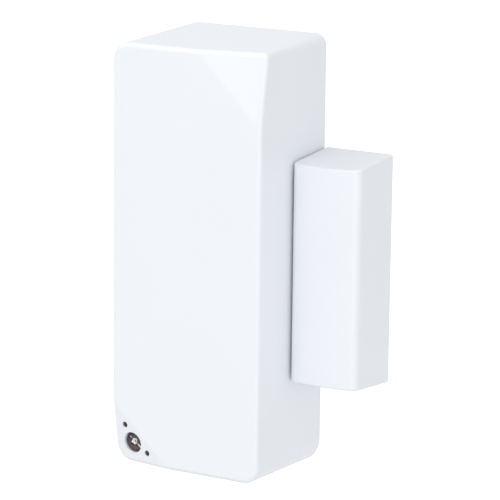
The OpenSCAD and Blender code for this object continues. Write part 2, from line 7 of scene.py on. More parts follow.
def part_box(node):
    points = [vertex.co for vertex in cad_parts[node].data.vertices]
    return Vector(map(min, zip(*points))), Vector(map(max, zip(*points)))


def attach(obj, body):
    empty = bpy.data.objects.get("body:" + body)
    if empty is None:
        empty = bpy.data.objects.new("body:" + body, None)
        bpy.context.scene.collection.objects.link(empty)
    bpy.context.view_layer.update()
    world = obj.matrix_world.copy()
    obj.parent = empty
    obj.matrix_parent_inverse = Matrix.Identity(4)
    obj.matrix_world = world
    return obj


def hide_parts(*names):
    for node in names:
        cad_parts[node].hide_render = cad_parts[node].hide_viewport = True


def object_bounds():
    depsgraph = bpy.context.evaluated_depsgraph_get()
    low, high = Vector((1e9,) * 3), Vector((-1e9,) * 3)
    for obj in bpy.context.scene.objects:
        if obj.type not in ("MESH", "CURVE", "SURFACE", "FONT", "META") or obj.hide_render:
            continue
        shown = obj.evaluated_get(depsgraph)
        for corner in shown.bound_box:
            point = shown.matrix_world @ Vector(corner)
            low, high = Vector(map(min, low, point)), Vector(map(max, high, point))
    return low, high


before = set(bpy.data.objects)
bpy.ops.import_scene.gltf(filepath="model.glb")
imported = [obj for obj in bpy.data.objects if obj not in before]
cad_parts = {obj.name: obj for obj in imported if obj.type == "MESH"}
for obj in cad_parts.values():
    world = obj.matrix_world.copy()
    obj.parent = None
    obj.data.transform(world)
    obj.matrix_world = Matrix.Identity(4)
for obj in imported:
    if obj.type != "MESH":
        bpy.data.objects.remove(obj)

cad_low, cad_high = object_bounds()

# Studio: a pale floor well below the object, which glows in a wide pool behind it with painted light from
# its own emission, a soft white surround, and three softboxes, high on the far left, level on the right
# and high in front. The camera stands to the right of the object, a little above.
MM = 0.001
scene = bpy.context.scene
scene.view_settings.view_transform = "Standard"

floor_drop = 160 * MM
floor_z = cad_low.z - floor_drop
floor_size = 12
bm = bmesh.new()
bmesh.ops.create_grid(bm, x_segments=1, y_segments=1, size=floor_size / 2)
bmesh.ops.translate(bm, verts=bm.verts, vec=(0, 0, floor_z))
floor_mesh = bpy.data.meshes.new("floor")
bm.to_mesh(floor_mesh)
bm.free()
floor = bpy.data.objects.new("floor", floor_mesh)
scene.collection.objects.link(floor)
paper = bpy.data.materials.new("pale_paper")
paper.use_nodes = True
paper_nodes = paper.node_tree.nodes
paper_surface = paper_nodes["Principled BSDF"]
for socket, value in (("Base Color", (0.8, 0.8, 0.8, 1)), ("Roughness", 0.9), ("Emission Strength", 1)):
    paper_surface.inputs[socket].default_value = value
# Painted light: the floor glows through its emission, fully inside pool_inner of pool_centre and fading
# to nothing at pool_outer.
pool_centre = Vector((-0.62, 1.05, floor_z))
pool_inner = 0.8
pool_outer = 1.15
painted_pool_glow = 0.62
paper_place = paper_nodes.new("ShaderNodeTexCoord")
paper_reach = paper_nodes.new("ShaderNodeVectorMath")
paper_reach.operation = "DISTANCE"
paper_reach.inputs[1].default_value = pool_centre
painted_pool_light = paper_nodes.new("ShaderNodeMapRange")
glow_range = {"From Min": pool_inner, "From Max": pool_outer, "To Min": painted_pool_glow, "To Max": 0}
for socket, value in glow_range.items():
    painted_pool_light.inputs[socket].default_value = value
link = paper.node_tree.links.new
link(paper_place.outputs["Object"], paper_reach.inputs[0])
link(paper_reach.outputs["Value"], painted_pool_light.inputs["Value"])
link(painted_pool_light.outputs["Result"], paper_surface.inputs["Emission Color"])
floor_mesh.materials.append(paper)

surround = bpy.data.worlds.new("surround")
surround.use_nodes = True
sky = surround.node_tree.nodes["Background"]
sky.inputs["Color"].default_value = (0.97, 0.985, 1, 1)
sky.inputs["Strength"].default_value = 0.707
scene.world = surround


def seen_from(azimuth, elevation, distance, aim=Vector()):
    """A place that looks at aim; azimuth 0 is in front of the object, 90 on its right."""
    a = radians(azimuth)
    e = radians(elevation)
    away = Vector((sin(a) * cos(e), -cos(a) * cos(e), sin(e)))
    return Matrix.Translation(aim + away * distance) @ away.to_track_quat("Z", "Y").to_matrix().to_4x4()


softbox_size = 0.6
softbox_distance = 1.1


def softbox(name, azimuth, elevation, watts):
    """A square area light aimed at the object."""
    light = bpy.data.lights.new(name, "AREA")
    light.size = softbox_size
    light.energy = watts
    lamp = bpy.data.objects.new(name, light)
    scene.collection.objects.link(lamp)
    lamp.matrix_world = seen_from(azimuth, elevation, softbox_distance)


softbox("left_box", -70, 50, 2.49)
softbox("right_box", 50, 0, 2.82)
softbox("front_box", 0, 50, 3.01)

camera_azimuth = 30.36
camera_elevation = 12.3
camera_roll = radians(0.67)
camera_distance = 617.5 * MM
camera_aim = Vector((0, 0, -1.8 * MM))
camera_data = bpy.data.cameras.new("camera")
camera_data.sensor_width = 36
camera_data.lens = 213.8
camera_data.clip_start = 0.01
camera = bpy.data.objects.new("camera", camera_data)
scene.collection.objects.link(camera)
camera.matrix_world = (
    seen_from(camera_azimuth, camera_elevation, camera_distance, camera_aim)
    @ Matrix.Rotation(camera_roll, 4, "Z")
)
scene.camera = camera


# Front cover: a deep shell moulded in white plastic, with rounded long corners, slightly drafted
# sides, a crisp point at the top right and a shallow facet at two opposite corners. The lower
# facet is pierced by the access hole of the lid screw and by two small holes beside it.
class Value:
    """A shader socket; arithmetic on it adds Math nodes to its tree."""

    def __init__(self, tree, socket):
        self.tree = tree
        self.socket = socket

    def math(self, operation, *others):
        node = self.tree.nodes.new("ShaderNodeMath")
        node.operation = operation
        for place, term in zip(node.inputs, (self, *others)):
            if isinstance(term, Value):
                self.tree.links.new(term.socket, place)
            else:
                place.default_value = term
        return Value(self.tree, node.outputs[0])

    def __add__(self, other):
        return self.math("ADD", other)

    def __sub__(self, other):
        return self.math("SUBTRACT", other)

    def __mul__(self, other):
        return self.math("MULTIPLY", other)

    def __rsub__(self, other):
        return self * -1 + other

    def __gt__(self, other):
        return self.math("GREATER_THAN", other)

    def __lt__(self, other):
        return self.math("LESS_THAN", other)

    __radd__ = __add__
    __rmul__ = __mul__


class Finish:
    """A material on a Principled surface, built from Object coordinates."""

    def __init__(self, name):
        self.material = bpy.data.materials.new(name)
        self.material.use_nodes = True
        self.tree = self.material.node_tree
        self.surface = self.tree.nodes["Principled BSDF"]
        self.place = self.node("ShaderNodeTexCoord", out="Object")

    def put(self, socket, value):
        if isinstance(value, Value):
            self.tree.links.new(value.socket, socket)
        elif socket.type == "RGBA":
            socket.default_value = (*value, 1)
        else:
            socket.default_value = value

    def node(self, kind, sockets=None, out=0, **settings):
        node = self.tree.nodes.new(kind)
        for name, value in settings.items():
            setattr(node, name, value)
        for name, value in (sockets or {}).items():
            self.put(node.inputs[name], value)
        return Value(self.tree, node.outputs[out])

    def axes(self):
        """The three Object coordinates."""
        parts = self.node("ShaderNodeSeparateXYZ", {0: self.place}).socket.node
        return [Value(self.tree, part) for part in parts.outputs]

    def off_axis(self, x, z):
        """The distance from a line along Y through x and z."""
        px, _, pz = self.axes()
        return ((px - x) * (px - x) + (pz - z) * (pz - z)).math("SQRT")

    def noise(self, scale, detail=2.0, stretch=(1, 1, 1)):
        spot = self.node("ShaderNodeMapping", {"Vector": self.place, "Scale": stretch})
        return self.node("ShaderNodeTexNoise", {"Vector": spot, "Scale": scale, "Detail": detail})

    def blend(self, share, first, second):
        colours = {"Factor": share, 6: first, 7: second}
        return self.node("ShaderNodeMix", colours, out=2, data_type="RGBA")

    def bump(self, height, depth, strength=1.0):
        return self.node("ShaderNodeBump", {"Height": height, "Distance": depth, "Strength": strength})

    def set(self, **sockets):
        for name, value in sockets.items():
            self.put(self.surface.inputs[name.replace("_", " ").title().replace("Ior", "IOR")], value)
        return self.material


# Painted shade in holes: the depth over which it reaches full strength, and its dark colour.
painted_shade_depth = 0.7 * MM
painted_hole_shade = (0.26, 0.26, 0.27)


def moulded(name, bright, shaded, roughness, grain=6500, holes=()):
    """Moulded plastic: a faint cloudiness, a fine grain and a slightly uneven gloss. Its holes, each
    (x, z, radius, mouth) along Y, hold painted shade that deepens with their depth."""
    finish = Finish(name)
    cloud = finish.noise(45, 3)
    grains = finish.noise(grain)
    flow = finish.noise(700, 3, (1, 1, 0.35))
    height = 0.7 * grains + 0.3 * flow
    colour = finish.blend(cloud, bright, shaded)
    for x, z, radius, mouth in holes:
        # Painted shade: each hole's wall is tinted darker from its mouth inwards.
        depth = (finish.axes()[1] - mouth) * (1 / painted_shade_depth)
        shade = depth.math("MINIMUM", 1).math("MAXIMUM", 0) * (finish.off_axis(x, z) < radius)
        colour = finish.blend(shade, colour, painted_hole_shade)
    return finish.set(
        base_color=colour,
        roughness=roughness - 0.06 + 0.12 * flow,
        normal=finish.bump(height, 0.012 * MM, 0.5),
    )


def round_edges(bm, edges, offset, steps):
    """Rounds edges by offset, or by less where there is no room."""
    bmesh.ops.bevel(bm, geom=edges, offset=offset, offset_type="OFFSET", segments=steps, profile=0.5,
                    affect="EDGES", material=-1, clamp_overlap=True)


def round_corner(bm, corner, offset, steps):
    """Rounds one corner of a flat face."""
    bmesh.ops.bevel(bm, geom=[corner], offset=offset, offset_type="OFFSET", segments=steps, profile=0.5,
                    affect="VERTICES", material=-1)


def rounded_outline(bm, w, h, y, radii):
    """A face in X and Z at y, w by h, with a radius for each of its four corners."""
    corners = [(1, 1), (-1, 1), (-1, -1), (1, -1)]
    verts = [bm.verts.new((sx * w / 2, y, sz * h / 2)) for sx, sz in corners]
    bm.faces.new(verts)
    for vert, radius in zip(verts, radii):
        round_corner(bm, vert, radius, 12)


def edge_turn(edge):
    """The angle in degrees between the two faces at an edge, 0 at an open edge."""
    if len(edge.link_faces) != 2:
        return 0
    return edge.calc_face_angle(0) * 180 / pi


def add_mesh(bm, other):
    """Adds a second bmesh to the first and frees it."""
    spare = bpy.data.meshes.new("spare")
    other.to_mesh(spare)
    other.free()
    bm.from_mesh(spare)
    bpy.data.meshes.remove(spare)


def rod(bm, x, z, diameter, y0, y1, steps=64, narrow=None):
    """A closed round bar along Y; narrow is its diameter at y1, if it tapers."""
    turn = Matrix.Translation((x, (y0 + y1) / 2, z)) @ Matrix.Rotation(-pi / 2, 4, "X")
    end = diameter if narrow is None else narrow
    bmesh.ops.create_cone(bm, cap_ends=True, segments=steps, radius1=diameter / 2, radius2=end / 2,
                          depth=y1 - y0, matrix=turn)


def brick(bm, low, high):
    """A closed block between two corners."""
    size = [b - a for a, b in zip(low, high)]
    middle = [(a + b) / 2 for a, b in zip(low, high)]
    turn = Matrix.Translation(middle) @ Matrix.Diagonal((*size, 1))
    return bmesh.ops.create_cube(bm, size=1, matrix=turn)["verts"]


def combined(bm, other, operation):
    """The bmesh after a boolean with another closed one."""
    pair = []
    for part in (bm, other):
        mesh = bpy.data.meshes.new("part")
        part.to_mesh(mesh)
        part.free()
        body = bpy.data.objects.new("part", mesh)
        scene.collection.objects.link(body)
        pair.append(body)
    tool = pair[0].modifiers.new("tool", "BOOLEAN")
    tool.operation = operation
    tool.solver = "EXACT"
    tool.use_self = True
    tool.object = pair[1]
    bpy.context.view_layer.update()
    result = bmesh.new()
    result.from_object(pair[0], bpy.context.evaluated_depsgraph_get())
    for body in pair:
        mesh = body.data
        bpy.data.objects.remove(body)
        bpy.data.meshes.remove(mesh)
    return result


def hollowed(outer, inner):
    """A shell from two skins that are open at the back; the inner one reaches out past the outer one."""
    for skin in (outer, inner):
        bmesh.ops.contextual_create(skin, geom=[e for e in skin.edges if e.is_boundary])
        bmesh.ops.recalc_face_normals(skin, faces=skin.faces)
    return combined(outer, inner, "DIFFERENCE")


def add_piece(bm, name, body, material, replaced=(), crease=35):
    """Makes the finished object: smooth faces, sharp where they turn by more than crease."""
    bmesh.ops.remove_doubles(bm, verts=bm.verts, dist=1e-6)
    bmesh.ops.dissolve_degenerate(bm, edges=bm.edges, dist=1e-6)
    for face in bm.faces:
        face.smooth = True
    for edge in bm.edges:
        edge.smooth = edge_turn(edge) < crease
    mesh = bpy.data.meshes.new(name)
    bm.to_mesh(mesh)
    bm.free()
    mesh.materials.append(material)
    piece = bpy.data.objects.new(name, mesh)
    scene.collection.objects.link(piece)
    weights = piece.modifiers.new("flat_faces", "WEIGHTED_NORMAL")
    weights.keep_sharp = True
    weights.weight = 100
    if replaced:
        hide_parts(*replaced)
    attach(piece, body)


def add_form(bm, node, body, material, crease=35):
    """The finished object that stands for one CAD node."""
    add_piece(bm, node + "_form", body, material, [node], crease)


def middle_of(node):
    """The middle of a CAD node's box."""
    low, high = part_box(node)
    return (low + high) / 2


def size_of(node):
    """The size of a CAD node's box."""
    low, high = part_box(node)
    return high - low


cover_low, cover_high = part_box("front_cover")
case_w = cover_high.x - cover_low.x
case_h = cover_high.z - cover_low.z
case_d = -cover_low.y
cover_back = cover_high.y
cover_wall = 1.8 * MM
corner_r = 5.2 * MM
corner_front_r = 3.4 * MM
crisp_r = 2.4 * MM
crisp_front_r = 0.9 * MM
end_draft = 1.4 * MM
side_draft = 0.2 * MM
edge_r = 1 * MM
facet_x = 13.8 * MM
facet_z = 13.2 * MM
facet_drop = 2.2 * MM
top_facet = 1.1
broad_face = 30 * MM * MM


def cut_facet(bm, sx, sz, size, inset):
    """Cuts one corner facet of a relative size, moved in by inset, and closes the cut."""
    corner = Vector((sx * (case_w / 2 - side_draft), -case_d, sz * (case_h / 2 - end_draft)))
    normal = Vector((sx / facet_x, -1 / facet_drop, sz / facet_z)).normalized()
    point = corner - Vector((sx * facet_x * size, 0, 0)) - inset * normal
    cut = bmesh.ops.bisect_plane(bm, geom=bm.verts[:] + bm.edges[:] + bm.faces[:], dist=1e-7,
                                 plane_co=point, plane_no=normal, clear_outer=True)
    edges = [g for g in cut["geom_cut"] if isinstance(g, bmesh.types.BMEdge)]
    bmesh.ops.contextual_create(bm, geom=edges)


def open_back(bm):
    """Removes the rearmost face."""
    back_face = max(bm.faces, key=lambda f: f.calc_center_median().y)
    bmesh.ops.delete(bm, geom=[back_face], context="FACES_ONLY")


def cover_skin(inset, rounding, back_y):
    """The cover's outer form drawn in by inset, open at back_y."""
    bm = bmesh.new()
    front = [max(crisp_front_r - inset, 0.5 * MM)] + [max(corner_front_r - inset, 0.8 * MM)] * 3
    back = [max(crisp_r - inset, 0.8 * MM)] + [max(corner_r - inset, 0.8 * MM)] * 3
    rounded_outline(bm, case_w - 2 * side_draft - 2 * inset, case_h - 2 * end_draft - 2 * inset,
                    -case_d + inset, front)
    rounded_outline(bm, case_w - 2 * inset, case_h - 2 * inset, back_y, back)
    open_back(bm)
    bmesh.ops.bridge_loops(bm, edges=bm.edges[:])
    bmesh.ops.recalc_face_normals(bm, faces=bm.faces)
    cut_facet(bm, 1, 1, top_facet, inset)
    cut_facet(bm, -1, -1, 1, inset)
    bmesh.ops.remove_doubles(bm, verts=bm.verts, dist=1e-6)
    round_edges(bm, [e for e in bm.edges if edge_turn(e) > 30], rounding, 6)
    creases = []
    for edge in bm.edges:
        if edge_turn(edge) > 5 and min(f.calc_area() for f in edge.link_faces) > broad_face:
            creases.append(edge)
    round_edges(bm, creases, 0.4 * MM, 3)
    return bm


past = 1 * MM
cover = hollowed(cover_skin(0, edge_r, cover_back), cover_skin(cover_wall, 0.3 * MM, cover_back + past))

screw_low, screw_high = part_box("lid_screw")
screw_x = (screw_low.x + screw_high.x) / 2
screw_z = (screw_low.z + screw_high.z) / 2
washer_low, washer_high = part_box("screw_washer")
seat_y = washer_high.y
access_d = 4.45 * MM
shank_hole_d = 2.5 * MM
boss_wall = 1.1 * MM
boss_floor = 1.6 * MM
pin_hole_r = 0.625 * MM
plunger_low, plunger_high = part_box("tamper_plunger")
plunger_x, _, plunger_z = middle_of("tamper_plunger")

boss = bmesh.new()
rod(boss, screw_x, screw_z, access_d + 2 * boss_wall, -case_d + 1.65 * MM, seat_y + boss_floor)
cover = combined(cover, boss, "UNION")
inner_parts = bmesh.new()
rod(inner_parts, plunger_x, plunger_z, plunger_high.x - plunger_low.x + 0.8 * MM,
    -case_d + cover_wall / 2, plunger_low.y - 0.3 * MM)
for side in (-1, 1):
    rib_x = side * (case_w / 2 - cover_wall - side_draft)
    for rib_z in (-26 * MM, 26 * MM):
        brick(inner_parts, (rib_x - 0.5 * MM, -12 * MM, rib_z - 0.6 * MM),
              (rib_x + 0.5 * MM, -5.5 * MM, rib_z + 0.6 * MM))
cover = combined(cover, inner_parts, "UNION")
access = bmesh.new()
rod(access, screw_x, screw_z, access_d, -case_d - past, seat_y)
cover = combined(cover, access, "DIFFERENCE")
small_holes = bmesh.new()
rod(small_holes, screw_x, screw_z, shank_hole_d, -case_d, 0)
pin_holes = []
for step_x, step_z in ((-1.7 * MM, 3.65 * MM), (3.65 * MM, -1.7 * MM)):
    x = screw_x + step_x
    z = screw_z + step_z
    slope_x = (x + case_w / 2 - side_draft) / facet_x
    slope_z = (z + case_h / 2 - end_draft) / facet_z
    mouth = -case_d + facet_drop * (1 - slope_x - slope_z)
    pin_holes.append((x, z, pin_hole_r + 0.02 * MM, mouth))
    rod(small_holes, x, z, 2 * pin_hole_r, -case_d - past, -case_d + cover_wall + facet_drop + past, 40)
cover = combined(cover, small_holes, "DIFFERENCE")
bmesh.ops.remove_doubles(cover, verts=cover.verts, dist=1e-6)


def hole_rim(bm, x, z, radius, front_y):
    """The sharp edges round the mouth of a hole that opens towards -Y, in front of front_y."""
    rim = []
    for edge in bm.edges:
        if edge_turn(edge) < 40 or max(v.co.y for v in edge.verts) > front_y:
            continue
        if all(abs(Vector((v.co.x - x, v.co.z - z)).length - radius) < 0.03 * MM for v in edge.verts):
            rim.append(edge)
    return rim


mouths = hole_rim(cover, screw_x, screw_z, access_d / 2, -case_d + facet_drop)
for x, z, *_ in pin_holes:
    mouths += hole_rim(cover, x, z, pin_hole_r, -case_d + cover_wall)
round_edges(cover, mouths, 0.06 * MM, 3)
white = (0.87, 0.885, 0.915)
white_cloud = (0.845, 0.862, 0.895)
# The two pin holes beside the screw get painted shade inside them.
cover_plastic = moulded("cover_plastic", white, white_cloud, 0.36, holes=pin_holes)
add_piece(cover, "front_cover_shell", "cover", cover_plastic, ["front_cover"])


# Magnet unit's cover: a small white shell moulded in the same plastic, with flat sides, round
# front corners, a gently arched front and ends that lean in. It snaps over its base.
magnet_low, magnet_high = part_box("magnet_cover")
magnet_w = magnet_high.x - magnet_low.x
magnet_h = magnet_high.z - magnet_low.z
magnet_d = -magnet_low.y
magnet_x, _, magnet_z = middle_of("magnet_cover")
magnet_back = magnet_high.y
magnet_wall = 1.5 * MM
magnet_r = 2 * MM
arch_r = 22 * MM
magnet_lean = 1.3 / 15.6


def magnet_skin(inset, rounding, back_y):
    """The magnet cover's outer form drawn in by inset, open at back_y."""
    half = magnet_w / 2 - inset
    small_r = max(magnet_r - inset, 1 * MM)
    big_r = arch_r - inset
    slope = asin((half - small_r) / (big_r - small_r))
    front = -magnet_d + inset
    apex_y = front + big_r - big_r / cos(slope)
    corner_y = apex_y + half * tan(slope)
    corner_run = small_r * tan((pi / 2 - slope) / 2)
    apex_run = half / cos(slope) - corner_run
    bm = bmesh.new()
    low_z = -magnet_h / 2 + inset
    outline = [(-half, back_y), (half, back_y), (half, corner_y), (0, apex_y), (-half, corner_y)]
    verts = [bm.verts.new((x, y, low_z)) for x, y in outline]
    bm.faces.new(verts)
    round_corner(bm, verts[3], apex_run * 0.999, 16)
    round_corner(bm, verts[2], corner_run * 0.999, 12)
    round_corner(bm, verts[4], corner_run * 0.999, 12)
    bmesh.ops.remove_doubles(bm, verts=bm.verts, dist=0.02 * MM)
    grown = bmesh.ops.extrude_face_region(bm, geom=bm.faces[:])
    top = [g for g in grown["geom"] if isinstance(g, bmesh.types.BMVert)]
    bmesh.ops.translate(bm, verts=top, vec=(0, 0, -2 * low_z))
    for vert in bm.verts:
        lean = -vert.co.y * magnet_lean
        vert.co.z += lean if vert.co.z < 0 else -lean
    bmesh.ops.recalc_face_normals(bm, faces=bm.faces)
    open_back(bm)
    round_edges(bm, [e for e in bm.edges if edge_turn(e) > 60], rounding, 4)
    bmesh.ops.translate(bm, verts=bm.verts, vec=(magnet_x, 0, magnet_z))
    return bm


magnet_shell = hollowed(magnet_skin(0, 0.5 * MM, magnet_back),
                        magnet_skin(magnet_wall, 0.1 * MM, magnet_back + past))
white_plastic = moulded("white_plastic", white, white_cloud, 0.36)
add_piece(magnet_shell, "magnet_cover_shell", "magnet_shell", white_plastic, ["magnet_cover"])


# Cover screw: a slotted steel screw with a centre dimple, blackened all over, with bright patches at one
# edge of its slot and in its dimple that are partly wear and partly painted highlight, set where glints
# fall. Its thread is rolled, right-handed, and bites in the post of the base plate.
def metal(name, bright, dark, roughness, grain=2500, stretch=(1, 1, 1), depth=0.01 * MM):
    """Bare or plated metal: a clouded colour, a directional grain and an uneven gloss."""
    finish = Finish(name)
    grains = finish.noise(grain, 3, stretch)
    return finish.set(
        base_color=finish.blend(finish.noise(500, 4), bright, dark),
        metallic=1,
        roughness=roughness - 0.08 + 0.16 * grains,
        normal=finish.bump(grains, depth, 0.5),
    )


def turned(bm, profile, centre, axis, steps=48):
    """A closed round piece: profile is a list of (radius, height along axis) from end to end."""
    axis = Vector(axis)
    out = axis.orthogonal().normalized()
    verts = [bm.verts.new(Vector(centre) + out * radius + axis * height) for radius, height in profile]
    edges = [bm.edges.new(pair) for pair in zip(verts, verts[1:])]
    bmesh.ops.spin(bm, geom=verts + edges, cent=centre, axis=axis, angle=2 * pi, steps=steps,
                   use_merge=True)
    bmesh.ops.remove_doubles(bm, verts=bm.verts, dist=1e-7)
    bmesh.ops.recalc_face_normals(bm, faces=bm.faces)


def thread(bm, x, z, inner_r, outer_r, start_y, length, pitch, steps=24):
    """A right-handed thread along Y that starts at start_y and runs towards -Y."""
    turns = length / pitch
    root = inner_r - 0.05 * MM
    points = [(root, 0.3), (outer_r, 0.06), (outer_r, -0.06), (root, -0.3)]
    verts = [bm.verts.new((x + r, start_y + share * pitch, z)) for r, share in points]
    face = bm.faces.new(verts)
    bmesh.ops.spin(bm, geom=[face], cent=(x, start_y, z), axis=(0, -1, 0), dvec=(0, -pitch / steps, 0),
                   angle=2 * pi * turns, steps=round(steps * turns), use_duplicate=False)
    bmesh.ops.recalc_face_normals(bm, faces=bm.faces)


slot_turn = radians(-38)
slot_w = 0.5 * MM
slot_depth = 0.24 * MM
head_d = screw_high.x - screw_low.x
head_h = 1.3 * MM
shank_d = 2.2 * MM
thread_pitch = 0.8 * MM


def slotted_head(bm, x, z, top, diameter, turn, cross_l, width, depth):
    """Cuts a slot across a head at top, with a shorter cross arm and a centre dimple."""
    for length, angle in ((diameter * 1.2, turn), (cross_l, turn + pi / 2)):
        tool = bmesh.new()
        verts = brick(tool, (-length / 2, -depth, -width / 2), (length / 2, depth, width / 2))
        turned_to = Matrix.Translation((x, top, z)) @ Matrix.Rotation(-angle, 4, "Y")
        bmesh.ops.transform(tool, matrix=turned_to, verts=verts)
        bm = combined(bm, tool, "DIFFERENCE")
    tool = bmesh.new()
    turned(tool, [(0, -0.3 * MM), (1.3 * width, -0.3 * MM), (1.15 * width, 0), (0.4 * width, 2 * depth),
                  (0.35 * width, 4 * depth), (0, 4 * depth)], (x, top, z), (0, 1, 0), 32)
    return combined(bm, tool, "DIFFERENCE")


head_top = screw_low.y
screw = bmesh.new()
turned(screw, [
    (0, 0), (1.1 * MM, 0.02 * MM), (1.6 * MM, 0.1 * MM), (1.88 * MM, 0.22 * MM), (2.04 * MM, 0.42 * MM),
    (head_d / 2, 0.65 * MM), (head_d / 2, head_h - 0.1 * MM), (head_d / 2 - 0.1 * MM, head_h),
    (1.05 * MM, head_h), (0.88 * MM, head_h + 0.3 * MM), (0.86 * MM, screw_high.y - head_top - 1.6 * MM),
    (0.3 * MM, screw_high.y - head_top - 0.1 * MM), (0, screw_high.y - head_top),
], (screw_x, head_top, screw_z), (0, 1, 0), 64)
screw = slotted_head(screw, screw_x, screw_z, head_top, head_d, slot_turn, 1.7 * MM, slot_w, slot_depth)
face_y = head_top + 0.4 * MM
rims = [e for e in screw.edges if edge_turn(e) > 40 and max(v.co.y for v in e.verts) < face_y]
round_edges(screw, rims, 0.035 * MM, 2)
thread(screw, screw_x, screw_z, 0.86 * MM, shank_d / 2, screw_high.y - 1.7 * MM, 5.6 * MM, thread_pitch)

dark_steel = Finish("dark_steel")
px, py, pz = dark_steel.axes()
along = (px - screw_x) * cos(slot_turn) + (pz - screw_z) * sin(slot_turn)
across = (pz - screw_z) * cos(slot_turn) - (px - screw_x) * sin(slot_turn)
patches = dark_steel.noise(2600, 3)
# Painted highlight, partly wear: bright metal along one edge of the slot (a long run on one side of the
# centre, a short faint one on the other) and in the dimple, where glints fall.
edge_wear_and_glint = (across > -0.1 * MM) * (across < 0.36 * MM) * (py < head_top + 2.2 * slot_depth)
slot_wear_and_glint_run = (along > 0.8 * MM) + 0.6 * (along < -1 * MM) * (along > -1.5 * MM)
off_centre = dark_steel.off_axis(screw_x, screw_z + 0.12 * MM)
in_dimple = (off_centre < 0.66 * MM) * (py < head_top + 1 * MM)
wear_and_glint = (edge_wear_and_glint * slot_wear_and_glint_run).math("MAXIMUM", in_dimple) * (0.75 + 0.35 * patches)
oxide = dark_steel.blend(dark_steel.noise(1500, 4), (0.05, 0.045, 0.048), (0.22, 0.18, 0.19))
scratched = dark_steel.noise(5200, 3, (1, 1, 0.3))
dark_steel.set(
    base_color=dark_steel.blend(wear_and_glint, oxide, (0.93, 0.92, 0.9)),
    metallic=1,
    roughness=0.3 + 0.2 * scratched,
    normal=dark_steel.bump(scratched, 0.012 * MM, 0.6),
)
add_form(screw, "lid_screw", "screw", dark_steel.material, 30)


# Washer of the cover screw: a flat punched steel ring, zinc plated, loose on the shank between the
# head and the boss of the cover.
zinc = metal("zinc", (0.62, 0.63, 0.64), (0.48, 0.49, 0.5), 0.34)
washer = bmesh.new()
ring_t = washer_high.y - washer_low.y
ring_out = (washer_high.x - washer_low.x) / 2
ring_in = shank_d / 2 + 0.05 * MM
lip = 0.06 * MM
turned(washer, [
    (ring_in, lip), (ring_in + lip, 0), (ring_out - lip, 0), (ring_out, lip), (ring_out, ring_t - lip),
    (ring_out - lip, ring_t), (ring_in + lip, ring_t), (ring_in, ring_t - lip), (ring_in, lip),
], (screw_x, washer_low.y, screw_z), (0, 1, 0), 64)
add_form(washer, "screw_washer", "washer", zinc)


# Base plate: a tray moulded in a slightly greyer white than the cover, with posts for the board and
# the cover screw. Two wall screws hold it to the frame of the door.
def softened(node, body, material, width=0.12 * MM):
    """A piece from a CAD node: its triangles merged into flat faces, its sharp edges rounded by width."""
    bm = bmesh.new()
    bm.from_mesh(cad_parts[node].data)
    bmesh.ops.remove_doubles(bm, verts=bm.verts, dist=1e-6)
    bmesh.ops.dissolve_limit(bm, angle_limit=radians(0.5), verts=bm.verts, edges=bm.edges)
    round_edges(bm, [e for e in bm.edges if edge_turn(e) > 50], width, 2)
    add_form(bm, node, body, material)


base_plastic = moulded("base_plastic", (0.78, 0.79, 0.805), (0.73, 0.742, 0.76), 0.42)
softened("base_plate", "sensor_base", base_plastic)


# Circuit board: glass-filled laminate under a green solder mask, with copper tracks that show
# through it, small vias, and tinned pads under the parts. Two screws hold it to the base plate.
mask = Finish("solder_mask")
px, _, pz = mask.axes()
track_step = 0.9 * MM
tile = 5.4 * MM


def share_of(value, step):
    """How far a coordinate is through its step, from 0 to 1."""
    return (value * (1 / step)).math("FRACT")


def cell_noise(finish, x, z, step):
    """A random value for each square of side step."""
    column = (x * (1 / step)).math("FLOOR")
    row = (z * (1 / step)).math("FLOOR")
    spot = finish.node("ShaderNodeCombineXYZ", {"X": column, "Y": row})
    return finish.node("ShaderNodeTexWhiteNoise", {"Vector": spot})


choice = cell_noise(mask, px, pz, tile)
upright = (share_of(px, track_step) < 0.36) * (choice > 0.55)
level = (share_of(pz, track_step) < 0.36) * (choice < 0.3)
tracks = upright.math("MAXIMUM", level)
via_step = 2.7 * MM
via_x = (share_of(px, via_step) - 0.5) * via_step
via_z = (share_of(pz, via_step) - 0.5) * via_step
via_r = (via_x * via_x + via_z * via_z).math("SQRT")
chosen = cell_noise(mask, px, pz, via_step) > 0.8
via = (via_r < 0.34 * MM) * (via_r > 0.15 * MM) * chosen
drilled = (via_r < 0.15 * MM) * chosen
laminate = mask.blend(mask.noise(900, 4), (0.012, 0.105, 0.05), (0.016, 0.13, 0.062))
masked = mask.blend(tracks, laminate, (0.03, 0.2, 0.095))
plated = mask.blend(via, masked, (0.62, 0.47, 0.2))
mask.set(
    base_color=mask.blend(drilled, plated, (0.01, 0.012, 0.01)),
    roughness=0.3 + 0.12 * mask.noise(1800, 3),
    normal=mask.bump(tracks + 0.08 * mask.noise(4000, 3), 0.03 * MM, 0.7),
    metallic=via * 0.8,
)
softened("circuit_board", "sensor_base", mask.material, 0.06 * MM)


def block_at(bm, x, z, w, h, y_back, t, round_by=0.05 * MM, upright_by=None):
    """A block w by h that stands t towards -Y from y_back, with rounded edges."""
    block = bmesh.new()
    brick(block, (x - w / 2, y_back - t, z - h / 2), (x + w / 2, y_back, z + h / 2))
    if upright_by:
        corners = [e for e in block.edges if abs(e.verts[0].co.y - e.verts[1].co.y) > t / 2]
        round_edges(block, corners, upright_by, 4)
    round_edges(block, [e for e in block.edges if edge_turn(e) > 50], round_by, 2)
    add_mesh(bm, block)


def block_of(node, round_by, upright_by=None):
    """A block that fills a CAD node's box, with rounded edges."""
    middle = middle_of(node)
    size = size_of(node)
    bm = bmesh.new()
    block_at(bm, middle.x, middle.z, size.x, size.z, middle.y + size.y / 2, size.y, round_by, upright_by)
    return bm


